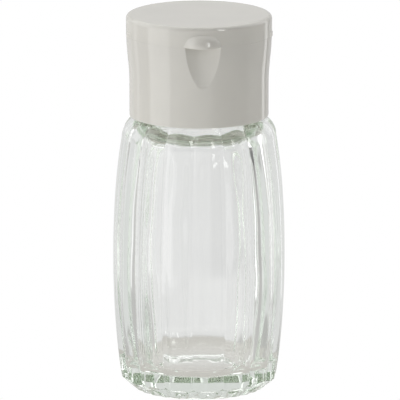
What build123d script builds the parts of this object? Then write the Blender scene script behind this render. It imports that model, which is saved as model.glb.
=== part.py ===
from build123d import *
from math import cos, pi, radians, sin, sqrt
import os

# Spice shaker: a fluted glass jar, a screw-on plastic cap and a full-width flip lid.
# Millimetres, Z up. The origin is the centre of the jar's foot, and the thumb tab faces -Y.

# Jar, outside
flute_count = 16
flute_turn = -7.4             # degrees from the tab to the nearest groove
flute_depth = 0.9             # crest to groove
flute_end = 63.0              # degrees up the shoulder's round, where the grooves run out
belly_radius = 22.5           # widest, over the crests
barrel_taper = 2.25           # how much narrower the barrel is at its ends than at its belly
shoulder_round = 5.5
shoulder_top = 71.9           # where the shoulder meets the neck
foot_height = 2.5             # height of the bevel under the barrel, at the crests
foot_cusp = 0.25              # how much higher the bevel runs up in the grooves
foot_bevel = 3.0              # how far the bevel runs in
rib_depth = 0.5               # scallops along the bevel's lower edge, two to a flute
rib_height = 0.7              # how far up the bevel they run out
foot_ring = 3.6               # width of the ring the jar stands on
push_up_depth = 0.8

# Jar, inside
floor_thickness = 5.8
floor_round = 4.5
belly_wall = 3.8
hollow_taper = 2.75           # how much narrower the hollow is at the barrel's ends
shoulder_wall = 4.3
throat_round = 1.6

# Neck
neck_radius = 14.8            # at the thread's root
neck_wall = 3.0
neck_height = 16.5
rim_bevel = 0.7
bead_width = 2.4
bead_rise = 1.9               # middle of the bead above the shoulder
bead_proud = 0.8
thread_depth = 1.2

# Gasket and insert
gasket_thickness = 1.0
gasket_overhang = 0.7         # past the neck
insert_flange = 1.2
boss_radius = 9.0
boss_wall = 1.1
boss_rise = 0.3               # above the deck
boss_chamfer = 0.3
shaking_hole_radius = 1.2
ring_holes = 6
ring_hole_circle = 4.8

# Cap
cap_gap = 0.1                 # between the skirt and the level of the shoulder's top
thread_clearance = 0.25
skirt_wall = 1.8
cap_flare = 0.8               # how much wider the ledge is than the skirt
flare_height = 12.35          # how far below the ledge the flare starts
fit_clearance = 0.15
pocket_clearance = 0.2
deck_thickness = 1.6
ledge_rise = 1.15             # ledge that the lid closes on, above the deck
locating_ring_wall = 0.9
locating_ring_rise = 1.4      # above the ledge

# Lid
lid_overhang = 0.05           # past the ledge
lid_height = 5.15
lid_wall = 1.8
lid_top = 1.6
lid_edge_round = 1.1
parting_gap = 0.1
ring_clearance = 0.3          # from the locating ring
seal_ring_wall = 0.8
seal_ring_gap = 0.2           # above the deck
grip_height = 1.3             # small rounded grips at the lid's sides
grip_width = 3.6
grip_proud = 0.3
grip_bevel = 0.3
grip_turn = 78.0              # degrees from the tab, both ways

# Thumb tab and recess
tab_width = 9.4
tab_height = 3.2
tab_proud = 2.1
tab_crown = 62.0              # degrees up the dome's arc, where it meets the wall
recess_width = 9.1
recess_height = 10.85
recess_depth = 1.9
recess_fullness = 0.8         # width at half its height, as a share of its full width
recess_nose = 1.0             # height of the blunt end at its tip
recess_nose_width = 3.3       # where the blunt end starts

# Hinge
hinge_setback = 2.0           # axis behind the lid's outer wall
hinge_drop = 0.6              # axis below the lid's lower edge
knuckle_radius = 1.5
lug_width = 6.0
ear_thickness = 2.0
ear_clearance = 0.15
pin_radius = 0.85
pin_reach = 1.7
pin_clearance = 0.05
gusset_height = 5.0

# Worked out from the sizes above
shoulder_base = shoulder_top - shoulder_round
barrel_half_length = (shoulder_base - foot_height) / 2
belly_height = foot_height + barrel_half_length
shoulder_centre = (belly_radius - barrel_taper - shoulder_round, shoulder_base)
mouth_radius = neck_radius - neck_wall
rim_height = shoulder_top + neck_height
gasket_top = rim_height + gasket_thickness
gasket_radius = neck_radius + gasket_overhang
deck_bottom = gasket_top + insert_flange
deck_top = deck_bottom + deck_thickness
boss_top = deck_top + boss_rise
skirt_bore = neck_radius + thread_depth + thread_clearance
cap_radius = skirt_bore + skirt_wall
cap_bottom = shoulder_top + cap_gap
cap_top = deck_top + ledge_rise
flare_start = cap_top - flare_height
lid_bottom = cap_top + parting_gap
lid_radius = cap_radius + cap_flare + lid_overhang
lid_inner_radius = lid_radius - lid_wall
hinge_y = lid_radius + hinge_setback
hinge_z = lid_bottom - hinge_drop
hinge_half_width = lug_width / 2 + ear_clearance + ear_thickness
overshoot = 1.0               # how far a cutter runs past what it cuts


def steps(start, end, count):
    """Evenly spaced values from start to end, both included."""
    return [start + i * (end - start) / count for i in range(count + 1)]


def round_points(centre, radius, start, end, count):
    """Points round a corner of a half section, from one angle above level to another."""
    return [
        (centre[0] + radius * cos(radians(a)), centre[1] + radius * sin(radians(a)))
        for a in steps(start, end, count)
    ]


def turned(points):
    """A solid of revolution from a closed half section of (radius, height) points."""
    return revolve(Plane.XZ * make_face(Polyline(*points, close=True)), Axis.Z)


def upright(radius, height):
    """A cylinder that stands on the level plane."""
    return Cylinder(radius, height, align=(Align.CENTER, Align.CENTER, Align.MIN))


def barrel_position(z):
    """How far a height is from the belly, from -1 at the foot to 1 at the shoulder."""
    return (z - belly_height) / barrel_half_length


def crest_radius(z):
    """Outer radius of the jar over the flutes' crests at a height."""
    centre_r, centre_z = shoulder_centre
    if z > centre_z:
        return centre_r + sqrt(shoulder_round**2 - (z - centre_z) ** 2)
    u = barrel_position(z)
    return belly_radius - barrel_taper * (0.8 * u**2 + 0.2 * u**4)


def groove_radius(z):
    """Outer radius of the jar in the grooves, which fade out over the shoulder."""
    centre_r, centre_z = shoulder_centre
    if z <= centre_z:
        return crest_radius(z) - flute_depth
    run_out = shoulder_round * sin(radians(flute_end))
    depth = flute_depth * (1 - ((z - centre_z) / run_out) ** 4)
    return centre_r + sqrt((shoulder_round - depth) ** 2 - (z - centre_z) ** 2)


def lobe_radius(crest, groove, pitch, turn):
    """Radius at an angle from a groove, on the arcs that run from groove over crest to groove."""
    centre = (crest**2 - groove**2) / (2 * (crest - groove * cos(pitch / 2)))
    from_crest = turn % pitch - pitch / 2
    return centre * cos(from_crest) + sqrt((crest - centre) ** 2 - (centre * sin(from_crest)) ** 2)


def lobed_ring(z, crest, groove, lobes=flute_count):
    """One level outline of the jar, with two arcs to each flute so that all outlines match."""

    def point(quarter):
        turn = quarter * pi / (2 * flute_count)
        radius = lobe_radius(crest, groove, 2 * pi / lobes, turn)
        angle = radians(flute_turn - 90.0) + turn
        return (radius * cos(angle), radius * sin(angle), z)

    arcs = [ThreePointArc(point(k), point(k + 1), point(k + 2)) for k in range(0, 4 * flute_count, 2)]
    return Face(Wire(arcs))


def foot_rings():
    """The bevel, with scallops along its lower edge, and an upper edge that climbs into each groove."""
    cusp = foot_height + foot_cusp
    edge = crest_radius(foot_height) - foot_bevel

    def bevel_ring(z):
        crest = edge + foot_bevel * z / foot_height
        groove = edge + (groove_radius(cusp) - edge) * z / cusp
        return lobed_ring(z, crest, groove)

    return [
        lobed_ring(0.0, edge, edge - rib_depth, 2 * flute_count),
        bevel_ring(rib_height),
        bevel_ring(foot_height),
        lobed_ring(cusp, crest_radius(cusp), groove_radius(cusp)),
    ]


def fluted_body():
    """The jar's outside as far as the flutes go: bevelled foot, barrel and most of the shoulder."""
    heights = steps(foot_height + foot_cusp, shoulder_base, 7)[1:]
    heights += [shoulder_base + shoulder_round * sin(radians(a)) for a in steps(0.0, flute_end, 4)[1:]]
    rings = [lobed_ring(z, crest_radius(z), groove_radius(z)) for z in heights]
    return loft(foot_rings() + rings, ruled=True)


def plain_shoulder():
    """The top of the shoulder, where no flute reaches."""
    points = round_points(shoulder_centre, shoulder_round, flute_end, 90.0, 2)
    return turned([(0.0, points[0][1]), *points, (0.0, shoulder_top)])


def neck():
    """The neck at the thread's root, with bead and rim, standing in the shoulder's glass."""
    bead = shoulder_top + bead_rise
    bead_radius = neck_radius + bead_proud
    return turned(
        [
            (0.0, shoulder_base),
            (neck_radius, shoulder_base),
            (neck_radius, bead - bead_width / 2),
            (bead_radius, bead - bead_width / 4),
            (bead_radius, bead + bead_width / 4),
            (neck_radius, bead + bead_width / 2),
            (neck_radius, rim_height - rim_bevel),
            (neck_radius - rim_bevel, rim_height),
            (0.0, rim_height),
        ]
    )


def hollow_radius(z):
    """Inner radius of the jar's barrel at a height."""
    return belly_radius - belly_wall - hollow_taper * barrel_position(z) ** 2


def cavity():
    """The hollow of the jar: rounded floor, swelling wall, shoulder, throat and mouth."""
    inner_shoulder = hollow_radius(shoulder_base) - mouth_radius
    throat = min(throat_round, inner_shoulder / 2)
    inner_shoulder_round = inner_shoulder - throat
    inner_shoulder_top = shoulder_top - shoulder_wall
    wall_start = floor_thickness + floor_round
    wall_end = inner_shoulder_top - inner_shoulder_round
    floor_centre = (hollow_radius(wall_start) - floor_round, wall_start)
    shoulder_middle = (hollow_radius(wall_end) - inner_shoulder_round, wall_end)
    throat_centre = (mouth_radius + throat, inner_shoulder_top + throat)
    points = [(0.0, floor_thickness)]
    points += round_points(floor_centre, floor_round, -90.0, 0.0, 4)
    points += [(hollow_radius(z), z) for z in steps(wall_start, wall_end, 5)[1:-1]]
    points += round_points(shoulder_middle, inner_shoulder_round, 0.0, 90.0, 3)
    points += round_points(throat_centre, throat, 270.0, 180.0, 2)
    points += [(mouth_radius, rim_height + overshoot), (0.0, rim_height + overshoot)]
    return turned(points)


def push_up():
    """The shallow hollow under the foot, which leaves a ring to stand on."""
    outer = crest_radius(foot_height) - foot_bevel - rib_depth - foot_ring
    return turned(
        [
            (0.0, -overshoot),
            (outer, -overshoot),
            (outer, 0.0),
            (outer - 2 * push_up_depth, push_up_depth),
            (0.0, push_up_depth),
        ]
    )


def glass_jar():
    return fluted_body() + plain_shoulder() + neck() - cavity() - push_up()


def rim_gasket():
    ring = upright(gasket_radius, gasket_thickness) - upright(mouth_radius, gasket_thickness)
    return Pos(0, 0, rim_height) * ring


def sifter_insert():
    """A flange under the deck, and a raised plate with the shaking holes in the deck's opening."""
    flange = upright(gasket_radius, insert_flange)
    boss = upright(boss_radius, boss_top - gasket_top)
    boss = chamfer(boss.edges().sort_by(Axis.Z)[-1], boss_chamfer)
    hollow = upright(boss_radius - boss_wall, boss_top - boss_wall - gasket_top)
    hole = upright(shaking_hole_radius, boss_top)
    ring = PolarLocations(ring_hole_circle, ring_holes) * hole
    return Pos(0, 0, gasket_top) * (flange + boss - hollow - hole - ring)


def wall_radius(z):
    """Outer radius of the cap at a height: straight, then flaring to the ledge in an S curve."""
    t = min(max((z - flare_start) / flare_height, 0.0), 1.0)
    return cap_radius + cap_flare * t * t * (3 - 2 * t)


def cap_shell():
    """The cap without its recess and hinge: skirt, ledge, locating ring, deck and pocket."""
    opening = boss_radius + fit_clearance
    pocket_radius = gasket_radius + pocket_clearance
    pocket_bottom = rim_height - fit_clearance
    ring_outside = lid_inner_radius - ring_clearance
    ring_inside = ring_outside - locating_ring_wall
    ring_top = cap_top + locating_ring_rise
    points = [(skirt_bore, cap_bottom), (cap_radius, cap_bottom)]
    points += [(wall_radius(z), z) for z in steps(flare_start, cap_top, 6)]
    points += [
        (ring_outside, cap_top),
        (ring_outside, ring_top),
        (ring_inside, ring_top),
        (ring_inside, deck_top),
        (opening, deck_top),
        (opening, deck_bottom),
        (pocket_radius, deck_bottom),
        (pocket_radius, pocket_bottom),
        (skirt_bore, pocket_bottom - (skirt_bore - pocket_radius)),
    ]
    return turned(points)


def thumb_recess():
    """A bullet-shaped scoop, deepest at the ledge and ending in a blunt nose at its tip.

    It is turned about an upright axis in front of the wall, so every level section is an arc.
    """
    half = recess_width / 2
    half_nose = recess_nose_width / 2
    tip = cap_top - recess_height
    middle = cap_top - recess_height / 2
    wall = wall_radius(cap_top)
    edge = sqrt(wall**2 - half**2)
    sunk = recess_depth - (wall - edge)
    top_radius = (half**2 + sunk**2) / (2 * sunk)
    axis = edge + top_radius - sunk

    def scoop_radius(half_width, z):
        return sqrt(half_width**2 + (axis - sqrt(wall_radius(z) ** 2 - half_width**2)) ** 2)

    side = ThreePointArc(
        (top_radius, cap_top),
        (scoop_radius(recess_fullness * half, middle), middle),
        (scoop_radius(half_nose, tip + recess_nose), tip + recess_nose),
    )
    nose = ThreePointArc(
        side @ 1,
        (scoop_radius(0.71 * half_nose, tip + 0.29 * recess_nose), tip + 0.29 * recess_nose),
        (scoop_radius(0.0, tip), tip),
    )
    above = cap_top + overshoot
    rest = Polyline(nose @ 1, (0.0, tip), (0.0, above), (top_radius, above), side @ 0)
    return Pos(0, -axis, 0) * revolve(Plane.XZ * make_face([side, nose, rest]), Axis.Z)


def ear_outline():
    """Side view of the hinge block: round about the axis, with a gusset down to the skirt."""
    back = hinge_y + knuckle_radius
    web = make_face(
        Polyline(
            (cap_radius, cap_top),
            (hinge_y, cap_top),
            (back, hinge_z),
            (back, hinge_z - 1.3 * knuckle_radius),
            (cap_radius, cap_top - gusset_height),
            close=True,
        )
    )
    return Plane.YZ * (web + Pos(hinge_y, hinge_z) * Circle(knuckle_radius))


def hinge_ears():
    """Two ears on a block behind the skirt, with a pocket between them for the lid's lug."""
    block = extrude(ear_outline(), amount=hinge_half_width, both=True)
    pocket_floor = hinge_z - knuckle_radius - ear_clearance
    pocket = Pos(0, wall_radius(hinge_z), pocket_floor) * Box(
        lug_width + 2 * ear_clearance,
        2 * hinge_setback + 2 * knuckle_radius,
        4 * knuckle_radius,
        align=(Align.CENTER, Align.MIN, Align.MIN),
    )
    return block - pocket - upright(cap_radius, 2 * cap_top)


def hinge_bore():
    bore = Cylinder(pin_radius + pin_clearance, 2 * hinge_half_width + overshoot)
    return Pos(0, hinge_y, hinge_z) * Rot(0, 90, 0) * bore


def cap_body():
    return cap_shell() - thumb_recess() + hinge_ears() - hinge_bore()


def swell(half_width, proud):
    """Radius and axis distance of an upright round that leaves the lid's wall at a half width."""
    rise = lid_radius + proud - sqrt(lid_radius**2 - half_width**2)
    radius = (half_width**2 + rise**2) / (2 * rise)
    return radius, lid_radius + proud - radius


def thumb_tab():
    """A rounded dome over the recess, flat underneath."""
    radius, axis = swell(tab_width / 2, tab_proud)
    top_radius = lid_radius - axis
    arc_centre = (radius**2 - top_radius**2 - tab_height**2) / (2 * (radius - top_radius))
    side = CenterArc((arc_centre, 0), radius - arc_centre, 0, tab_crown)
    rest = Polyline(side @ 1, (0.0, (side @ 1).Y), (0.0, 0.0), side @ 0)
    return Pos(0, -axis, 0) * revolve(Plane.XZ * make_face([side, rest]), Axis.Z)


def side_grip(turn):
    """A small swelling on the lid's wall, at an angle from the tab."""
    radius, axis = swell(grip_width / 2, grip_proud)
    profile = [
        (0.0, 0.0),
        (radius, 0.0),
        (radius, grip_height - grip_bevel),
        (radius - grip_bevel, grip_height),
        (0.0, grip_height),
    ]
    return Rot(0, 0, turn - 90.0) * Pos(axis, 0, 0) * turned(profile)


def hinge_lug():
    """The lug behind the lid, with a knuckle on the axis and a stub pin at each end."""
    along = Pos(0, hinge_y, hinge_z) * Rot(0, 90, 0)
    knuckle = along * Cylinder(knuckle_radius, lug_width)
    pins = along * Cylinder(pin_radius, lug_width + 2 * pin_reach)
    root = lid_radius - lid_wall / 2
    web = Pos(0, root, lid_bottom) * Box(
        lug_width,
        hinge_y - root,
        hinge_z + knuckle_radius - lid_bottom,
        align=(Align.CENTER, Align.MIN, Align.MIN),
    )
    return knuckle + pins + web


def seal_ring():
    """The ring under the lid that closes round the sifter's raised plate."""
    low = deck_top + seal_ring_gap - lid_bottom
    inside = boss_radius + 3 * fit_clearance
    height = lid_height - lid_top - low
    return Pos(0, 0, low) * (upright(inside + seal_ring_wall, height) - upright(inside, height))


def flip_lid():
    edge_centre = (lid_radius - lid_edge_round, lid_height - lid_edge_round)
    profile = [(0.0, 0.0), (lid_radius, 0.0)]
    profile += round_points(edge_centre, lid_edge_round, 0.0, 90.0, 4)
    profile += [(0.0, lid_height)]
    shell = turned(profile) + thumb_tab() + side_grip(grip_turn) + side_grip(-grip_turn)
    shell -= upright(lid_inner_radius, lid_height - lid_top)
    return Pos(0, 0, lid_bottom) * (shell + seal_ring()) + hinge_lug()


pieces = {
    "glass_jar": glass_jar(),
    "rim_gasket": rim_gasket(),
    "sifter_insert": sifter_insert(),
    "cap_body": cap_body(),
    "flip_lid": flip_lid(),
}

os.makedirs("parts", exist_ok=True)
for name, shape in pieces.items():
    export_step(shape, f"parts/{name}.step")
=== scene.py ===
import math

import bpy
import numpy as np
from mathutils import Matrix, Vector


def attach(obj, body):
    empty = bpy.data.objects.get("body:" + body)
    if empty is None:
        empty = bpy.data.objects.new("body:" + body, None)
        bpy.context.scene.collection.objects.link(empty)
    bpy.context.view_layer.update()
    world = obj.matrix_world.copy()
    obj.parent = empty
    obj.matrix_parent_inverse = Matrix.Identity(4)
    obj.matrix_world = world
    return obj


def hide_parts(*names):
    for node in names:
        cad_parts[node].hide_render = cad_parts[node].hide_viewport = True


# Looks of the spice shaker: pressed glass jar, glossy cap and lid, sifter and gasket.
# Shapes are worked out in millimetres in the CAD frame and made into meshes in metres.
MM = 0.001

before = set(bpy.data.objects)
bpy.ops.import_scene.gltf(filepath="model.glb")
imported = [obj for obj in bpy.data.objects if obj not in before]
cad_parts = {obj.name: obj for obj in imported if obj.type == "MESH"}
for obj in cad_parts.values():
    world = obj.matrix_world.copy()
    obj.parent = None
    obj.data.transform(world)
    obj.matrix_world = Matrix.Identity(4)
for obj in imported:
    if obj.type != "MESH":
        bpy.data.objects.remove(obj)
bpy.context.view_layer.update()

# Jar
FLUTES = 16
FLUTE_TURN = math.radians(-7.4)  # from the front to a groove
FLUTE_DEPTH = 0.9
FLUTE_END = math.radians(63.0)  # how far up the shoulder's round the flutes fade out
FLUTE_COLUMNS = 36  # of the mesh, to a flute
GROOVE_SOFTNESS = 0.12
BELLY_RADIUS = 22.46
BARREL_TAPER = 2.25  # how much narrower the barrel is at its ends than at its belly
SHOULDER_ROUND = 5.5
SHOULDER_TOP = 71.9
FOOT_HEIGHT = 2.5
FOOT_CUSP = 0.25  # how much higher the bevel ends in the grooves
FOOT_BEVEL = 3.0
RIB_DEPTH = 0.5
RIB_HEIGHT = 1.9
FOOT_RING = 3.6
PUSH_UP_DEPTH = 1.85
PUSH_UP_RUN = 2.2
FLOOR_THICKNESS = 5.8
FLOOR_ROUND = 4.5
BELLY_WALL = 3.8
HOLLOW_TAPER = 2.75
SHOULDER_WALL = 4.3
THROAT_ROUND = 1.6
NECK_RADIUS = 14.8
NECK_WALL = 3.0
NECK_HEIGHT = 16.5
RIM_ROUND = 0.7
GASKET_GAP = 0.1
BEAD_RISE = 1.9
BEAD_WIDTH = 2.4
BEAD_PROUD = 1.4
NECK_ROOT_ROUND = 0.3
THREAD_DEPTH = 1.2
THREAD_PITCH = 4.2333
THREAD_TURNS = 1.6
THREAD_START = 77.6
THREAD_CREST = 0.2375  # half width of the flat crest
THREAD_FLANK = 0.95
THREAD_FADE = 0.08  # of a turn, at each end
THREAD_STEP = 0.22  # between rings of the mesh

# Cap, lid and hinge
CAP_GAP = 0.1
THREAD_CLEARANCE = 0.25
CAP_THREAD_LOW = 0.5  # over the skirt's lower edge
CAP_THREAD_HIGH = 0.9  # under the jar's rim
CAP_THREAD_BITE = 0.05  # how far its sleeve reaches into the skirt
CAP_THREAD_SLEEVE = 0.03  # how far its sleeve stands inside the bore
SKIRT_WALL = 1.8
CAP_EDGE = 0.25
CAP_CORNER = 0.2
CRISP_EDGE = 0.02  # round of the cap's upper edge
CAP_FLARE = 0.8
FLARE_HEIGHT = 12.35
FIT_CLEARANCE = 0.15
POCKET_CLEARANCE = 0.2
GASKET_THICKNESS = 1.0
GASKET_OVERHANG = 0.7
INSERT_FLANGE = 1.2
DECK_THICKNESS = 1.6
LEDGE_RISE = 1.15
BOSS_RADIUS = 9.0
LOCATING_RING_WALL = 0.9
LOCATING_RING_RISE = 1.4
LID_OVERHANG = 0.05
LID_HEIGHT = 5.15
LID_WALL = 1.8
LID_TOP = 1.6
LID_EDGE_ROUND = 1.1
LID_FOOT_EDGE = 0.2
PARTING_GAP = 0.1
VISIBLE_GAP = 0.01  # from the cap to the lid's outer edge, which is drawn down into the parting gap
RING_CLEARANCE = 0.3
SEAL_RING_WALL = 0.8
SEAL_RING_GAP = 0.2
SEAL_RING_ROUND = 0.3
GRIP_HEIGHT = 1.3
GRIP_WIDTH = 3.6
GRIP_PROUD = 0.3
GRIP_TURN = math.radians(78.0)
GRIP_END_ROUND = 0.4
GRIP_SOFTNESS = 0.1
TAB_WIDTH = 9.4
TAB_HEIGHT = 3.2
TAB_PROUD = 2.1
TAB_SOFTNESS = 0.2
RECESS_WIDTH = 9.1
RECESS_HEIGHT = 10.85
RECESS_DEPTH = 1.9
RECESS_FULLNESS = 0.8
RECESS_NOSE = 1.0
RECESS_NOSE_WIDTH = 3.3
RECESS_SOFTNESS = 0.1
HINGE_SETBACK = 2.0
HINGE_DROP = 0.6
KNUCKLE_RADIUS = 1.5
LUG_WIDTH = 6.0
EAR_THICKNESS = 2.0
EAR_CLEARANCE = 0.15
PIN_RADIUS = 0.85
PIN_REACH = 1.7
GUSSET_HEIGHT = 5.0
GUSSET_DROP = 1.3  # under the hinge axis, in knuckle radii
HINGE_BITE = 1.0  # how far the hinge block reaches into the skirt
BITE_DROP = 0.8  # how much lower the gusset ends in there

# Unevenness of the jar's inner wall, which pressed glass always has a little of
FLUTE_TRACE = 0.2
WAVES = (
    # depth, waves round the jar, their drift with height and start, change with height and its start
    (0.10, 2, 0.07, 0.6, 0.085, 1.0),
    (0.07, 5, -0.05, 2.1, 0.17, 0.4),
    (0.035, 9, 0.11, 0.0, 0.31, 1.7),
)
WAVES_TOP_FADE = 6.0  # how far under the shoulder they have grown to their full depth
WAVES_CENTRE = 6.0  # radius of the floor's middle, which has none
WAVES_CENTRE_FADE = 8.0

# Worked out from the sizes above
SHOULDER_BASE = SHOULDER_TOP - SHOULDER_ROUND
BARREL_HALF = (SHOULDER_BASE - FOOT_HEIGHT) / 2
BELLY_HEIGHT = FOOT_HEIGHT + BARREL_HALF
SHOULDER_R = BELLY_RADIUS - BARREL_TAPER - SHOULDER_ROUND
MOUTH_RADIUS = NECK_RADIUS - NECK_WALL
RIM_HEIGHT = SHOULDER_TOP + NECK_HEIGHT
GLASS_TOP = RIM_HEIGHT - GASKET_GAP
GASKET_TOP = RIM_HEIGHT + GASKET_THICKNESS
DECK_BOTTOM = GASKET_TOP + INSERT_FLANGE
DECK_TOP = DECK_BOTTOM + DECK_THICKNESS
SKIRT_BORE = NECK_RADIUS + THREAD_DEPTH + THREAD_CLEARANCE
CAP_RADIUS = SKIRT_BORE + SKIRT_WALL
CAP_BOTTOM = SHOULDER_TOP + CAP_GAP
CAP_TOP = DECK_TOP + LEDGE_RISE
LID_BOTTOM = CAP_TOP + PARTING_GAP
LID_RADIUS = CAP_RADIUS + CAP_FLARE + LID_OVERHANG
LID_INNER = LID_RADIUS - LID_WALL
LID_TOP_HEIGHT = LID_BOTTOM + LID_HEIGHT
HINGE_Y = LID_RADIUS + HINGE_SETBACK
HINGE_Z = LID_BOTTOM - HINGE_DROP
HINGE_ROOT = CAP_RADIUS - HINGE_BITE


def smooth_step(t):
    """From 0 to 1 as t does, with a level start and end."""
    return t * t * (3 - 2 * t)


def smooth_max(a, b, blend):
    """The larger of two surfaces, with the corner between them rounded over about a blend."""
    near = np.maximum(blend - np.abs(a - b), 0.0) / blend
    return np.maximum(a, b) + near**2 * blend / 4


def smooth_min(a, b, blend):
    return -smooth_max(-a, -b, blend)


def arc(centre, radius, start, end, count):
    """Points of a half section round a corner, angles in degrees above level."""
    angles = np.radians(np.linspace(start, end, count + 1))
    return [(centre[0] + radius * math.cos(a), centre[1] + radius * math.sin(a)) for a in angles]


def line(start, end, count):
    """Points from start to end, without the end."""
    shares = np.arange(count) / count
    return [(start[0] + s * (end[0] - start[0]), start[1] + s * (end[1] - start[1])) for s in shares]


def ring(angles, radius, z):
    """One ring of points, with radius and height each one number or one per angle."""
    r = np.broadcast_to(radius, angles.shape)
    h = np.broadcast_to(z, angles.shape)
    return np.column_stack([r * np.cos(angles), r * np.sin(angles), h])


def mesh_object(name, points, faces):
    """A smooth-shaded object with a mesh of its own, from points in millimetres."""
    mesh = bpy.data.meshes.new(name)
    mesh.from_pydata((np.array(points) * MM).tolist(), [], faces)
    mesh.polygons.foreach_set("use_smooth", np.ones(len(mesh.polygons), bool))
    mesh.update()
    obj = bpy.data.objects.new(name, mesh)
    bpy.context.scene.collection.objects.link(obj)
    return obj


def mesh_from_rings(name, rings, loop=False):
    """A closed mesh of quads between rings. Without loop, its two ends close on the axis."""
    rings = np.array(rings)
    count, columns = rings.shape[:2]
    points = rings.reshape(-1, 3)
    c = np.arange(columns)
    d = (c + 1) % columns
    faces = []
    last = count if loop else count - 1
    for i in range(last):
        a, b = i * columns, ((i + 1) % count) * columns
        faces += np.column_stack([a + c, a + d, b + d, b + c]).tolist()
    if not loop:
        poles = [rings[0].mean(0), rings[-1].mean(0)]
        points = np.vstack([points, poles])
        low, high = len(points) - 2, len(points) - 1
        top = (count - 1) * columns
        faces += [[low, int(y), int(x)] for x, y in zip(c, d)]
        faces += [[high, int(top + x), int(top + y)] for x, y in zip(c, d)]
    return mesh_object(name, points, faces)


# Jar


def barrel_position(z):
    """How far a height is from the belly, from -1 at the foot to 1 at the shoulder."""
    return (z - BELLY_HEIGHT) / BARREL_HALF


def crest_radius(z):
    """Outer radius of the jar over the flutes' crests."""
    if z > SHOULDER_BASE:
        return SHOULDER_R + math.sqrt(SHOULDER_ROUND**2 - (z - SHOULDER_BASE) ** 2)
    u = barrel_position(z)
    # The barrel is four parts of a parabola and one part of a fourth power
    return BELLY_RADIUS - BARREL_TAPER * (0.8 * u**2 + 0.2 * u**4)


def groove_radius(z):
    """Outer radius of the jar in the grooves, which fade out over the shoulder."""
    if z <= SHOULDER_BASE:
        return crest_radius(z) - FLUTE_DEPTH
    run_out = SHOULDER_ROUND * math.sin(FLUTE_END)
    depth = FLUTE_DEPTH * (1 - ((z - SHOULDER_BASE) / run_out) ** 4)
    return SHOULDER_R + math.sqrt((SHOULDER_ROUND - depth) ** 2 - (z - SHOULDER_BASE) ** 2)


def lobes(angles, crest, groove, count):
    """Radius round the jar of arcs that bulge from groove to groove, with softened grooves."""
    pitch = 2 * math.pi / count
    turn = (angles - FLUTE_TURN + math.pi / 2) % pitch - pitch / 2
    centre = (crest**2 - groove**2) / (2 * (crest - groove * math.cos(pitch / 2)))
    bulge = crest - centre

    def lobe(off):
        return centre * np.cos(off) + np.sqrt(np.maximum(bulge**2 - (centre * np.sin(off)) ** 2, 0.0))

    if crest - groove < 0.01:
        return lobe(turn)
    beside = lobe(pitch - np.abs(turn))
    soft = min(GROOVE_SOFTNESS, (crest - groove) / 3)
    return smooth_max(lobe(turn), beside, soft)


def jar_outside(angles):
    """Rings of the fluted outside, from the standing ring up to the plain top of the shoulder."""
    cusp = FOOT_HEIGHT + FOOT_CUSP
    edge = crest_radius(FOOT_HEIGHT) - FOOT_BEVEL
    ribs = lobes(angles, edge, edge - RIB_DEPTH, 2 * FLUTES)
    rings = []
    for z in [*np.linspace(0.0, RIB_HEIGHT, 8), *np.linspace(RIB_HEIGHT, cusp, 12)[1:]]:
        crest = edge + FOOT_BEVEL * min(z / FOOT_HEIGHT, 1.0)
        groove = edge + (groove_radius(cusp) - edge) * z / cusp
        plain = lobes(angles, crest, groove, FLUTES) if z > 0 else ribs
        fade = max(1 - z / RIB_HEIGHT, 0.0)
        rings.append(ring(angles, plain + fade * (ribs - edge) if z > 0 else ribs, z))
    for z in np.linspace(cusp, SHOULDER_BASE, 90)[1:]:
        rings.append(ring(angles, lobes(angles, crest_radius(z), groove_radius(z), FLUTES), z))
    for a in np.linspace(0.0, FLUTE_END, 20)[1:]:
        z = SHOULDER_BASE + SHOULDER_ROUND * math.sin(a)
        rings.append(ring(angles, lobes(angles, crest_radius(z), groove_radius(z), FLUTES), z))
    return rings


def thread_height(angles, z):
    """How far the neck's thread stands out at a height, fading in and out at its ends."""
    turn = (angles + math.pi / 2) % (2 * math.pi) / (2 * math.pi)
    out = np.zeros_like(angles)
    for k in range(3):
        along = turn + k
        middle = THREAD_START + THREAD_PITCH * along
        profile = np.clip(1.0 - (np.abs(z - middle) - THREAD_CREST) / THREAD_FLANK, 0.0, 1.0)
        ends = np.clip(along / THREAD_FADE, 0, 1) * np.clip((THREAD_TURNS - along) / THREAD_FADE, 0, 1)
        out = np.maximum(out, smooth_step(profile) * ends)
    return out * THREAD_DEPTH


def jar_neck(angles):
    """Rings of the shoulder's plain top, the neck with its bead and thread, and the glass rim."""
    bead = SHOULDER_TOP + BEAD_RISE
    bead_round = BEAD_WIDTH / 2
    rim = GLASS_TOP - RIM_ROUND
    section = arc((SHOULDER_R, SHOULDER_BASE), SHOULDER_ROUND, math.degrees(FLUTE_END), 90.0, 5)[1:-1]
    root = (NECK_RADIUS + NECK_ROOT_ROUND, SHOULDER_TOP + NECK_ROOT_ROUND)
    section += arc(root, NECK_ROOT_ROUND, 270.0, 180.0, 3)
    section += arc((NECK_RADIUS + BEAD_PROUD - bead_round, bead), bead_round, -80.0, 80.0, 8)
    rings = [ring(angles, r, z) for r, z in section]
    for z in np.arange(bead + bead_round + 0.1, rim, THREAD_STEP):
        rings.append(ring(angles, NECK_RADIUS + thread_height(angles, z), z))
    section = arc((NECK_RADIUS - RIM_ROUND, rim), RIM_ROUND, 0.0, 90.0, 4)
    section += arc((MOUTH_RADIUS + RIM_ROUND, rim), RIM_ROUND, 90.0, 180.0, 4)
    return rings + [ring(angles, r, z) for r, z in section]


def unevenness(angles, z):
    """A trace of the flutes in the inner wall, and its slow waves."""
    out = -FLUTE_TRACE * np.cos(FLUTES * (angles - FLUTE_TURN + math.pi / 2))
    for depth, count, drift, start, rise, rise_start in WAVES:
        out = out + depth * np.sin(count * angles + drift * z + start) * math.sin(rise * z + rise_start)
    return out


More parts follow.
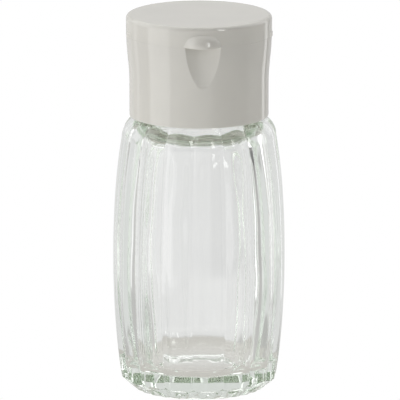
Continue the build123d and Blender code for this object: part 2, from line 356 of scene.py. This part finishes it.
def hollow_radius(z):
    """Inner radius of the jar's barrel, without its unevenness."""
    return BELLY_RADIUS - BELLY_WALL - HOLLOW_TAPER * barrel_position(z) ** 2


def jar_inside(angles):
    """Rings of the hollow, from the mouth down to the floor's centre."""
    shoulder_round = hollow_radius(SHOULDER_BASE) - MOUTH_RADIUS - THROAT_ROUND
    shoulder_top = SHOULDER_TOP - SHOULDER_WALL
    throat = shoulder_top + THROAT_ROUND
    wall_start = FLOOR_THICKNESS + FLOOR_ROUND
    wall_end = shoulder_top - shoulder_round
    section = line((MOUTH_RADIUS, GLASS_TOP - RIM_ROUND), (MOUTH_RADIUS, throat), 20)[1:]
    section += arc((MOUTH_RADIUS + THROAT_ROUND, throat), THROAT_ROUND, 180.0, 270.0, 6)
    section += arc((hollow_radius(wall_end) - shoulder_round, wall_end), shoulder_round, 90.0, 0.0, 10)[1:]
    section += [(hollow_radius(z), z) for z in np.linspace(wall_end, wall_start, 70)[1:]]
    section += arc((hollow_radius(wall_start) - FLOOR_ROUND, wall_start), FLOOR_ROUND, 0.0, -90.0, 14)[1:]
    end = section[-1][0]
    section += [(end * s, FLOOR_THICKNESS) for s in (0.85, 0.7, 0.55, 0.4, 0.25, 0.1)]
    rings = []
    for r, z in section:
        under_top = np.clip((shoulder_top - z) / WAVES_TOP_FADE, 0, 1)
        off_centre = np.clip((r - WAVES_CENTRE) / WAVES_CENTRE_FADE, 0, 1)
        rings.append(ring(angles, r + under_top * off_centre * unevenness(angles, z), z))
    return rings


def jar_underside(angles):
    """Rings of the foot from the push-up's centre out to the standing ring."""
    edge = crest_radius(FOOT_HEIGHT) - FOOT_BEVEL
    inner = edge - RIB_DEPTH - FOOT_RING
    top = inner - PUSH_UP_RUN
    section = [(top * s, PUSH_UP_DEPTH) for s in (0.1, 0.3, 0.5, 0.7, 0.85, 0.95)]
    rounded_top = [(top + 0.3, PUSH_UP_DEPTH - 0.08), (top + 0.7, PUSH_UP_DEPTH - 0.35)]
    rounded_edge = [(inner - 0.5, 0.3), (inner - 0.15, 0.06)]
    standing = [(inner + 0.2, 0.0), (inner + 1.8, 0.0)]
    return [ring(angles, r, z) for r, z in section + rounded_top + rounded_edge + standing]


def make_jar():
    """The jar as one shell, from the push-up over the outside and the rim into the hollow."""
    around = np.linspace(0, 2 * math.pi, FLUTES * FLUTE_COLUMNS, endpoint=False)
    angles = around + FLUTE_TURN - math.pi / 2
    rings = jar_underside(angles) + jar_outside(angles) + jar_neck(angles) + jar_inside(angles)
    return mesh_from_rings("jar_glass", rings)


# Cap and lid


def round_about(angles, distance, radius, far):
    """Radius along each ray to the far or near side of an upright round, centred some way to the front."""
    off = angles + math.pi / 2
    under = radius**2 - (distance * np.sin(off)) ** 2
    root = np.sqrt(np.maximum(under, 0.0))
    reach = distance * np.cos(off) + (root if far else -root)
    facing = (under > 0) & (np.cos(off) > 0)
    return np.where(facing, reach, -1e3 if far else 1e3)


def cap_angles():
    """Ray angles for cap and lid, close together at the tab and the grips."""
    full = np.radians(np.arange(0.0, 360.0, 1.0))
    front = np.radians(270.0 + np.arange(-22.0, 22.01, 0.25))
    sides = [a + np.radians(np.arange(-98.0, -81.9, 0.5)) for a in (GRIP_TURN, -GRIP_TURN)]
    every = np.concatenate([full, front, *sides]) % (2 * math.pi)
    return np.unique(np.round(every, 6))


def wall_radius(z):
    """Outer radius of the cap, which flares to its upper edge."""
    t = min(max((z - (CAP_TOP - FLARE_HEIGHT)) / FLARE_HEIGHT, 0.0), 1.0)
    return CAP_RADIUS + CAP_FLARE * smooth_step(t)


def arc_through(first, second, third):
    """Radius at a height, on the arc through three (radius, height) points."""
    a = np.array([[2 * r, 2 * z, 1.0] for r, z in (first, second, third)])
    b = np.array([r * r + z * z for r, z in (first, second, third)])
    centre_r, centre_z, rest = np.linalg.solve(a, b)
    square = rest + centre_r**2 + centre_z**2
    side = 1 if second[0] > centre_r else -1
    return lambda z: centre_r + side * math.sqrt(max(square - (z - centre_z) ** 2, 0.0))


def recess_shape():
    """Distance of the recess's upright axis, and its radius at any height."""
    half = RECESS_WIDTH / 2
    wall = wall_radius(CAP_TOP)
    edge = math.sqrt(wall**2 - half**2)
    sunk = RECESS_DEPTH - (wall - edge)
    top_radius = (half**2 + sunk**2) / (2 * sunk)
    distance = edge + top_radius - sunk

    def needed(half_width, z):
        gap = distance - math.sqrt(wall_radius(z) ** 2 - half_width**2)
        return math.hypot(half_width, gap)

    tip = CAP_TOP - RECESS_HEIGHT
    middle = CAP_TOP - RECESS_HEIGHT / 2
    nose = tip + RECESS_NOSE
    # The nose is nearly a quarter round on each side, whose middle is 0.29 up and 0.71 across
    round_nose = tip + 0.29 * RECESS_NOSE
    at_middle = (needed(RECESS_FULLNESS * half, middle), middle)
    at_nose = (needed(RECESS_NOSE_WIDTH / 2, nose), nose)
    on_round = (needed(0.71 * RECESS_NOSE_WIDTH / 2, round_nose), round_nose)
    side = arc_through((top_radius, CAP_TOP), at_middle, at_nose)
    end = arc_through(at_nose, on_round, (needed(0.0, tip), tip))
    return distance, lambda z: side(z) if z > nose else end(max(z, tip))


def cap_wall(angles, z, inset=0.0):
    """Outside of the cap at a height, with the thumb recess and its softened edge."""
    wall = np.full_like(angles, wall_radius(z) - inset)
    distance, radius_at = RECESS
    if z < CAP_TOP - RECESS_HEIGHT:
        return wall
    scoop = round_about(angles, distance, radius_at(z) + inset, far=False)
    return smooth_min(wall, scoop, RECESS_SOFTNESS)


def cap_outside(angles):
    """Rings from the skirt's lower edge up the outside and over the crisp upper edge."""
    low = CAP_RADIUS - CAP_EDGE
    tip = CAP_TOP - RECESS_HEIGHT
    below = np.linspace(CAP_BOTTOM + 2 * CAP_EDGE, tip, 24)
    beside = np.linspace(tip, CAP_TOP - CRISP_EDGE, 90)[1:]
    rings = [ring(angles, SKIRT_BORE + CAP_EDGE, CAP_BOTTOM), ring(angles, low, CAP_BOTTOM)]
    rings += [ring(angles, r, z) for r, z in arc((low, CAP_BOTTOM + CAP_EDGE), CAP_EDGE, -60.0, 0.0, 2)]
    rings += [ring(angles, cap_wall(angles, z), z) for z in [*below, *beside]]
    for a in np.radians([30.0, 60.0, 90.0]):
        inset = CRISP_EDGE * (1 - math.cos(a))
        rings.append(ring(angles, cap_wall(angles, CAP_TOP, inset), CAP_TOP - CRISP_EDGE * (1 - math.sin(a))))
    return rings


def cap_inside(angles):
    """Rings over the ledge, the locating ring and the deck, and down the opening, the pocket and the bore."""
    opening = BOSS_RADIUS + FIT_CLEARANCE
    pocket = NECK_RADIUS + GASKET_OVERHANG + POCKET_CLEARANCE
    pocket_bottom = RIM_HEIGHT - FIT_CLEARANCE
    ring_outside = LID_INNER - RING_CLEARANCE
    ring_inside = ring_outside - LOCATING_RING_WALL
    ring_top = CAP_TOP + LOCATING_RING_RISE
    edge, corner = CAP_EDGE, CAP_CORNER
    section = [(ring_outside + 0.12, CAP_TOP), (ring_outside, CAP_TOP + 0.12)]
    section += arc((ring_outside - edge, ring_top - edge), edge, 0.0, 90.0, 3)
    section += arc((ring_inside + edge, ring_top - edge), edge, 90.0, 180.0, 3)
    section += arc((ring_inside - edge, DECK_TOP + edge), edge, 0.0, -90.0, 3)
    section += line((ring_inside - 0.6, DECK_TOP), (opening + corner, DECK_TOP), 4)
    section += arc((opening + corner, DECK_TOP - corner), corner, 90.0, 180.0, 2)
    section += [(opening, DECK_BOTTOM + corner), (opening + corner, DECK_BOTTOM)]
    section += [(pocket - corner, DECK_BOTTOM), (pocket, DECK_BOTTOM - corner), (pocket, pocket_bottom)]
    section += [(SKIRT_BORE, pocket_bottom - (SKIRT_BORE - pocket)), (SKIRT_BORE, CAP_BOTTOM + edge)]
    outside = cap_wall(angles, CAP_TOP, CRISP_EDGE) - CRISP_EDGE
    rings = []
    for r, z in section:
        on_ledge = z <= CAP_TOP and r > ring_outside
        rings.append(ring(angles, np.minimum(r, outside) if on_ledge else r, z))
    return rings


def make_cap():
    """The cap as one shell, without its thread and hinge."""
    angles = cap_angles()
    return mesh_from_rings("cap_shell", cap_outside(angles) + cap_inside(angles), loop=True)


def make_cap_thread():
    """The cap's inner thread on its sleeve, half a pitch below the neck's thread and turning with it."""
    angles = np.linspace(0, 2 * math.pi, 192, endpoint=False)
    low = CAP_BOTTOM + CAP_THREAD_LOW
    high = RIM_HEIGHT - CAP_THREAD_HIGH
    sleeve = SKIRT_BORE - CAP_THREAD_SLEEVE
    rings = [ring(angles, SKIRT_BORE + CAP_THREAD_BITE, z) for z in (low, high)]
    rings.append(ring(angles, sleeve, high))
    for z in np.arange(low, high, THREAD_STEP)[::-1]:
        rings.append(ring(angles, sleeve - thread_height(angles, z + THREAD_PITCH / 2), z))
    return mesh_from_rings("cap_thread", rings, loop=True)


def swell(half_width, proud):
    """Radius and distance of an upright round that stands proud of the lid at a width."""
    rise = LID_RADIUS + proud - math.sqrt(LID_RADIUS**2 - half_width**2)
    radius = (half_width**2 + rise**2) / (2 * rise)
    return radius, LID_RADIUS + proud - radius


def lid_wall(angles, z):
    """Outside of the lid at a height above its lower edge, with the tab and the side grips."""
    over_straight = max(z - (LID_HEIGHT - LID_EDGE_ROUND), 0.0)
    edge = math.sqrt(max(LID_EDGE_ROUND**2 - over_straight**2, 0.0))
    out = np.full_like(angles, LID_RADIUS - LID_EDGE_ROUND + edge)
    radius, distance = swell(TAB_WIDTH / 2, TAB_PROUD)
    top_radius = LID_RADIUS - distance
    centre = (radius**2 - top_radius**2 - TAB_HEIGHT**2) / (2 * (radius - top_radius))
    if z < radius - centre:
        dome = centre + math.sqrt((radius - centre) ** 2 - z**2)
        out = smooth_max(out, round_about(angles, distance, dome, far=True), TAB_SOFTNESS)
    if z < GRIP_HEIGHT:
        grip, off = swell(GRIP_WIDTH / 2, GRIP_PROUD)
        into_round = max(z - GRIP_HEIGHT + GRIP_END_ROUND, 0.0)
        drawn = GRIP_END_ROUND - math.sqrt(max(GRIP_END_ROUND**2 - into_round**2, 0.0))
        for turn in (GRIP_TURN, -GRIP_TURN):
            bump = round_about(angles - turn, off, grip - drawn, far=True)
            out = smooth_max(out, bump, GRIP_SOFTNESS)
    return out


def lid_inside(angles):
    """Rings from the ceiling's centre over the sealing ring and down the inside of the wall."""
    low = DECK_TOP + SEAL_RING_GAP + SEAL_RING_ROUND
    inside = BOSS_RADIUS + 3 * FIT_CLEARANCE
    outside = inside + SEAL_RING_WALL
    ceiling = LID_TOP_HEIGHT - LID_TOP
    edge = SEAL_RING_ROUND
    section = [(r, ceiling) for r in (0.5, 3.0, 6.0, inside - edge)]
    section += arc((inside - edge, ceiling - edge), edge, 90.0, 0.0, 3)[1:]
    section += arc((inside + edge, low), edge, 180.0, 270.0, 3)
    section += arc((outside - edge, low), edge, 270.0, 360.0, 3)
    section += arc((outside + edge, ceiling - edge), edge, 180.0, 90.0, 3)
    section += line((outside + 0.6, ceiling), (LID_INNER - 0.5, ceiling), 4)
    section += arc((LID_INNER - 0.5, ceiling - 0.5), 0.5, 90.0, 0.0, 4)
    section += [(LID_INNER, LID_BOTTOM + LID_FOOT_EDGE), (LID_INNER + LID_FOOT_EDGE, LID_BOTTOM)]
    return [ring(angles, r, z) for r, z in section]


def lid_outside(angles):
    """Rings from the lower edge, which comes down almost to the cap, up and over to the top's centre."""
    foot = lid_wall(angles, 0.0)
    closed = CAP_TOP + VISIBLE_GAP
    straight = LID_HEIGHT - LID_EDGE_ROUND
    rings = [ring(angles, foot - 2 * LID_FOOT_EDGE, LID_BOTTOM)]
    rings += [ring(angles, foot - inset, closed) for inset in (LID_FOOT_EDGE, 0.01)]
    heights = [*np.linspace(0.0, straight, 46)]
    heights += [straight + LID_EDGE_ROUND * math.sin(a) for a in np.radians(np.linspace(0.0, 90.0, 12)[1:])]
    rings += [ring(angles, lid_wall(angles, z), LID_BOTTOM + z) for z in heights]
    return rings + [ring(angles, r, LID_TOP_HEIGHT) for r in (17.0, 15.0, 12.0, 8.0, 4.0, 1.0)]


def make_lid():
    """The lid as one shell, without its lug and pins."""
    angles = cap_angles()
    return mesh_from_rings("lid_shell", lid_inside(angles) + lid_outside(angles))


RECESS = recess_shape()
jar = make_jar()
cap = make_cap()
cap_thread = make_cap_thread()
lid = make_lid()


# Hinge


def prism(name, outline, half_width, bevel):
    """An outline of (y, z) points drawn out along X both ways, with its edges rounded."""
    count = len(outline)
    points = [(x, y, z) for x in (-half_width, half_width) for y, z in outline]
    faces = [list(range(count)), list(range(2 * count - 1, count - 1, -1))]
    faces += [[i, i + count, (i + 1) % count + count, (i + 1) % count] for i in range(count)]
    obj = mesh_object(name, points, faces)
    rounded = obj.modifiers.new("rounded", "BEVEL")
    rounded.width = bevel * MM
    rounded.segments = 3
    rounded.limit_method = "ANGLE"
    rounded.angle_limit = math.radians(50)
    smooth = obj.modifiers.new("normals", "WEIGHTED_NORMAL")
    smooth.keep_sharp = True
    return obj


def gusset_underside():
    """The gusset's sloping lower edge as (y, z) points, from its outer end into the skirt."""
    outer = (HINGE_Y + KNUCKLE_RADIUS, HINGE_Z - GUSSET_DROP * KNUCKLE_RADIUS)
    return [outer, (HINGE_ROOT, CAP_TOP - GUSSET_HEIGHT - BITE_DROP)]


def make_ear(name, side):
    """One ear of the hinge, with its gusset, reaching into the skirt."""
    top = CAP_TOP - 0.3
    outline = [(HINGE_ROOT, top), (HINGE_Y - 1.2, top)]
    outline += arc((HINGE_Y, HINGE_Z), KNUCKLE_RADIUS, 150.0, -40.0, 16)[1:]
    outline += gusset_underside()
    ear = prism(name, outline, EAR_THICKNESS / 2, 0.25)
    middle = side * (LUG_WIDTH / 2 + EAR_CLEARANCE + EAR_THICKNESS / 2)
    ear.data.transform(Matrix.Translation((middle * MM, 0, 0)))
    return ear


def make_web():
    """The gusset's floor between the ears, which clears the turning lug and reaches into both ears."""
    top = HINGE_Z - KNUCKLE_RADIUS - EAR_CLEARANCE
    outline = [(HINGE_ROOT, top), (HINGE_Y + KNUCKLE_RADIUS, top), *gusset_underside()]
    return prism("cap_hinge_web", outline, LUG_WIDTH / 2 + EAR_CLEARANCE + 0.3, 0.1)


def make_lug():
    """The lid's lug between the ears, from inside the lid's wall round the hinge axis."""
    root = LID_RADIUS - 0.6
    low = LID_BOTTOM + 0.05
    outline = [(root, LID_BOTTOM + 0.9), (root, low), (HINGE_Y - 1.35, low)]
    outline += arc((HINGE_Y, HINGE_Z), KNUCKLE_RADIUS, 185.0, 450.0, 24)
    return prism("lid_lug", outline, LUG_WIDTH / 2, 0.2)


def make_pins():
    """The stub pins on both sides of the lug, as one round bar."""
    outline = arc((HINGE_Y, HINGE_Z), PIN_RADIUS, 0.0, 345.0, 23)
    return prism("lid_pins", outline, LUG_WIDTH / 2 + PIN_REACH, 0.15)


hinge_block = [make_ear("cap_ear_left", -1), make_ear("cap_ear_right", 1), make_web()]
lug = make_lug()
pins = make_pins()


# Materials


def new_material(name):
    """A material with its nodes, links and shader."""
    material = bpy.data.materials.new(name)
    material.use_nodes = True
    nodes = material.node_tree.nodes
    return material, nodes, material.node_tree.links, nodes["Principled BSDF"]


def noise(nodes, links, scale, detail):
    """Noise in the piece's own coordinates."""
    place = nodes.new("ShaderNodeTexCoord")
    texture = nodes.new("ShaderNodeTexNoise")
    texture.inputs["Scale"].default_value = scale
    texture.inputs["Detail"].default_value = detail
    links.new(place.outputs["Object"], texture.inputs["Vector"])
    return texture.outputs["Fac"]


def uneven_skin(nodes, links, height, strength, distance):
    """Normals of a slightly uneven skin, with the distance in metres."""
    bump = nodes.new("ShaderNodeBump")
    bump.inputs["Strength"].default_value = strength
    bump.inputs["Distance"].default_value = distance
    links.new(height, bump.inputs["Height"])
    return bump.outputs["Normal"]


def glass_material():
    """Clear pressed glass with a faint green body colour and a slightly wavy skin."""
    material, nodes, links, shader = new_material("pressed_glass")
    shader.inputs["Base Color"].default_value = (1.0, 1.0, 1.0, 1)
    shader.inputs["Roughness"].default_value = 0.0
    shader.inputs["IOR"].default_value = 1.51
    shader.inputs["Transmission Weight"].default_value = 1.0
    tint = nodes.new("ShaderNodeVolumeAbsorption")
    tint.inputs["Color"].default_value = (0.715, 0.82, 0.71, 1)
    tint.inputs["Density"].default_value = 12.0
    links.new(tint.outputs["Volume"], nodes["Material Output"].inputs["Volume"])
    waves = noise(nodes, links, 110.0, 1.0)
    links.new(uneven_skin(nodes, links, waves, 0.02, 0.0004), shader.inputs["Normal"])
    return material


def plastic_material(name, colour, roughness, passing=0.0):
    """Moulded plastic or rubber: faint mottling, a grain in the gloss and slight orange peel.

    Passing is the share of the light that goes through the wall.
    """
    material, nodes, links, shader = new_material(name)
    shader.inputs["IOR"].default_value = 1.6
    mottle = noise(nodes, links, 90.0, 5.0)
    grain = noise(nodes, links, 900.0, 3.0)
    tone = nodes.new("ShaderNodeValToRGB")
    darker = [c * 0.965 for c in colour]
    tone.color_ramp.elements[0].position = 0.3
    tone.color_ramp.elements[0].color = (*darker, 1)
    tone.color_ramp.elements[1].position = 0.7
    tone.color_ramp.elements[1].color = (*colour, 1)
    gloss = nodes.new("ShaderNodeMapRange")
    gloss.inputs["To Min"].default_value = roughness - 0.02
    gloss.inputs["To Max"].default_value = roughness + 0.03
    links.new(mottle, tone.inputs["Fac"])
    links.new(tone.outputs["Color"], shader.inputs["Base Color"])
    links.new(grain, gloss.inputs["Value"])
    links.new(gloss.outputs["Result"], shader.inputs["Roughness"])
    links.new(uneven_skin(nodes, links, grain, 0.03, 0.0001), shader.inputs["Normal"])
    if passing:
        through = nodes.new("ShaderNodeBsdfTranslucent")
        share = nodes.new("ShaderNodeMixShader")
        share.inputs["Fac"].default_value = passing
        links.new(tone.outputs["Color"], through.inputs["Color"])
        links.new(shader.outputs["BSDF"], share.inputs[1])
        links.new(through.outputs["BSDF"], share.inputs[2])
        links.new(share.outputs["Shader"], nodes["Material Output"].inputs["Surface"])
    return material


glass = glass_material()
cap_plastic = plastic_material("cap_plastic", (0.79, 0.775, 0.725), 0.05, 0.2)
insert_plastic = plastic_material("insert_plastic", (0.80, 0.79, 0.75), 0.35)
seal_rubber = plastic_material("seal_rubber", (0.84, 0.85, 0.81), 0.5)


def dress(obj, material, body, slot, *nodes):
    """Gives a piece its material and the body it rides on, and hides the CAD nodes it stands for. The slot is
    not used.
    """
    obj.data.materials.clear()
    obj.data.materials.append(material)
    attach(obj, body)
    if nodes:
        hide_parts(*nodes)


dress(jar, glass, "jar", "glass", "glass_jar")
dress(cap, cap_plastic, "cap", "cap_plastic", "cap_body")
dress(cap_thread, cap_plastic, "cap", "cap_plastic")
dress(lid, cap_plastic, "lid", "cap_plastic", "flip_lid")
for piece in hinge_block:
    dress(piece, cap_plastic, "cap", "cap_plastic")
for piece in (lug, pins):
    dress(piece, cap_plastic, "lid", "cap_plastic")
for node, material in (("sifter_insert", insert_plastic), ("rim_gasket", seal_rubber)):
    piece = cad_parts[node]
    piece.data.materials.clear()
    piece.data.materials.append(material)


# Studio
# Light comes from all round, by direction as seen from the cap: brighter on the left, darker on the right.
# Azimuth 0 is the camera's side and grows to the right. All angles are in degrees.
AMBIENT = (0.05, 0.05, 0.05)
# Height over the floor, in metres, from which the light is seen
SEEN_FROM = 0.085


def grey(brightness, warmth=0.0):
    """A grey light. Warmth shifts it towards orange."""
    return (brightness * (1 + warmth / 2), brightness, brightness * (1 - warmth))


PATCHES = (
    # azimuth, half width, elevation, half height, softness, colour
    (0.0, 181.0, -50.0, 48.0, 4.0, grey(0.50, 0.02)),
    (0.0, 75.0, -50.0, 42.0, 6.0, grey(1.10, 0.02)),
    (180.0, 100.0, 70.0, 30.0, 15.0, grey(1.4)),
    (-115.0, 65.0, 28.0, 22.0, 8.0, grey(1.75)),
    (140.0, 45.0, 28.0, 22.0, 8.0, grey(1.5)),
    (-20.0, 40.0, -8.0, 20.0, 4.0, grey(0.70)),
    (50.0, 32.0, -8.0, 20.0, 4.0, grey(0.15)),
    (180.0, 35.0, 14.0, 14.0, 4.0, grey(0.6)),
    (180.0, 40.0, -23.0, 45.0, 4.0, grey(0.76)),
    # painted contact shadow: the floor's glow is darker and warmer right under the jar
    (0.0, 181.0, -90.0, 22.0, 1.5, grey(0.56, 0.06)),
    (-70.5, 19.5, -10.0, 26.0, 1.5, grey(1.8)),
    (-122.0, 4.0, -6.0, 34.0, 1.5, grey(1.0)),
    (128.0, 5.0, -6.0, 34.0, 1.5, grey(1.9)),
    (34.0, 6.0, 22.0, 18.0, 1.0, grey(6.0)),
)


def calculate(tree, operation, *values):
    """One step of arithmetic in a node tree, with numbers or sockets as values."""
    node = tree.nodes.new("ShaderNodeMath")
    node.operation = operation
    for socket, value in zip(node.inputs, values):
        if isinstance(value, float):
            socket.default_value = value
        else:
            tree.links.new(value, socket)
    return node.outputs["Value"]


def window(tree, distance, half, softness):
    """One inside a half width and zero outside it, with a soft edge."""
    edge = tree.nodes.new("ShaderNodeMapRange")
    edge.interpolation_type = "SMOOTHSTEP"
    tree.links.new(distance, edge.inputs["Value"])
    edge.inputs["From Min"].default_value = half - softness
    edge.inputs["From Max"].default_value = half + softness
    edge.inputs["To Min"].default_value = 1.0
    edge.inputs["To Max"].default_value = 0.0
    return edge.outputs["Result"]


def blended(tree, share, first, second):
    """The first colour where the share is zero and the second where it is one."""
    mix = tree.nodes.new("ShaderNodeMix")
    mix.data_type = "RGBA"
    tree.links.new(share, mix.inputs[0])
    for socket, colour in ((mix.inputs[6], first), (mix.inputs[7], second)):
        if isinstance(colour, tuple):
            socket.default_value = (*colour, 1.0)
        else:
            tree.links.new(colour, socket)
    return mix.outputs[2]


def studio_light(tree, vector):
    """Brightness of the studio in a direction."""
    split = tree.nodes.new("ShaderNodeSeparateXYZ")
    tree.links.new(vector, split.inputs["Vector"])
    x, y, z = split.outputs
    toward = calculate(tree, "MULTIPLY", y, -1.0)
    azimuth = calculate(tree, "DEGREES", calculate(tree, "ARCTAN2", x, toward))
    squares = [calculate(tree, "POWER", part, 2.0) for part in (x, y)]
    level = calculate(tree, "SQRT", calculate(tree, "ADD", *squares))
    elevation = calculate(tree, "DEGREES", calculate(tree, "ARCTAN2", z, level))
    total = AMBIENT
    for around, half_width, up, half_height, softness, colour in PATCHES:
        off = calculate(tree, "SUBTRACT", azimuth, around)
        off = calculate(tree, "ABSOLUTE", calculate(tree, "WRAP", off, 180.0, -180.0))
        rise = calculate(tree, "ABSOLUTE", calculate(tree, "SUBTRACT", elevation, up))
        across = window(tree, off, half_width, softness)
        upright = window(tree, rise, half_height, softness)
        total = blended(tree, calculate(tree, "MULTIPLY", across, upright), total, colour)
    return total


def plain_to_the_camera(tree, light):
    """Plain white where the camera looks straight at it, and the studio's light everywhere else."""
    path = tree.nodes.new("ShaderNodeLightPath")
    return blended(tree, path.outputs["Is Camera Ray"], light, (1.0, 1.0, 1.0))


def make_floor():
    """A wide floor that glows like the studio under it, so that the jar stands in even white. Right under the
    jar its glow is darker and warmer, a painted contact shadow that the camera sees as plain white.
    """
    size = 4000.0
    corners = [(-size, -size, 0.0), (size, -size, 0.0), (size, size, 0.0), (-size, size, 0.0)]
    floor = mesh_object("floor", corners, [[0, 1, 2, 3]])
    material = bpy.data.materials.new("floor")
    material.use_nodes = True
    material.cycles.emission_sampling = "NONE"
    tree = material.node_tree
    tree.nodes.clear()
    place = tree.nodes.new("ShaderNodeTexCoord")
    drop = tree.nodes.new("ShaderNodeVectorMath")
    drop.operation = "SUBTRACT"
    drop.inputs[1].default_value = (0.0, 0.0, SEEN_FROM)
    tree.links.new(place.outputs["Object"], drop.inputs[0])
    light = plain_to_the_camera(tree, studio_light(tree, drop.outputs["Vector"]))
    glow = tree.nodes.new("ShaderNodeEmission")
    tree.links.new(light, glow.inputs["Color"])
    end = tree.nodes.new("ShaderNodeOutputMaterial")
    tree.links.new(glow.outputs["Emission"], end.inputs["Surface"])
    floor.data.materials.append(material)


def make_world():
    """The studio all round, as the world's light."""
    world = bpy.data.worlds.new("studio")
    bpy.context.scene.world = world
    world.use_nodes = True
    tree = world.node_tree
    place = tree.nodes.new("ShaderNodeTexCoord")
    light = plain_to_the_camera(tree, studio_light(tree, place.outputs["Generated"]))
    tree.links.new(light, tree.nodes["Background"].inputs["Color"])


make_floor()
make_world()


def make_camera():
    """The photo's view: a long lens from a little above, turned slightly past the tab."""
    azimuth = math.radians(-3.2)
    elevation = math.radians(12.8)
    distance = 1.7
    frame_width = 0.1041
    aim = Vector((0.00025, 0.0, 0.0492))
    level = math.cos(elevation)
    back = Vector((math.sin(azimuth) * level, -math.cos(azimuth) * level, math.sin(elevation)))
    data = bpy.data.cameras.new("camera")
    data.sensor_width = 36.0
    data.lens = data.sensor_width * distance / frame_width
    data.clip_start = 0.05
    data.clip_end = 50.0
    camera = bpy.data.objects.new("camera", data)
    bpy.context.scene.collection.objects.link(camera)
    camera.location = aim + back * distance
    camera.rotation_euler = (-back).to_track_quat("-Z", "Y").to_euler()
    bpy.context.scene.camera = camera


make_camera()
scene = bpy.context.scene
scene.view_settings.view_transform = "Standard"
# Light passes many faces of the glass on its way
scene.cycles.max_bounces = 64
scene.cycles.transmission_bounces = 64
scene.cycles.glossy_bounces = 64
scene.cycles.diffuse_bounces = 32
# Glossy light isn't blurred after a bounce, which would darken the glass under the cap
scene.cycles.blur_glossy = 0.0
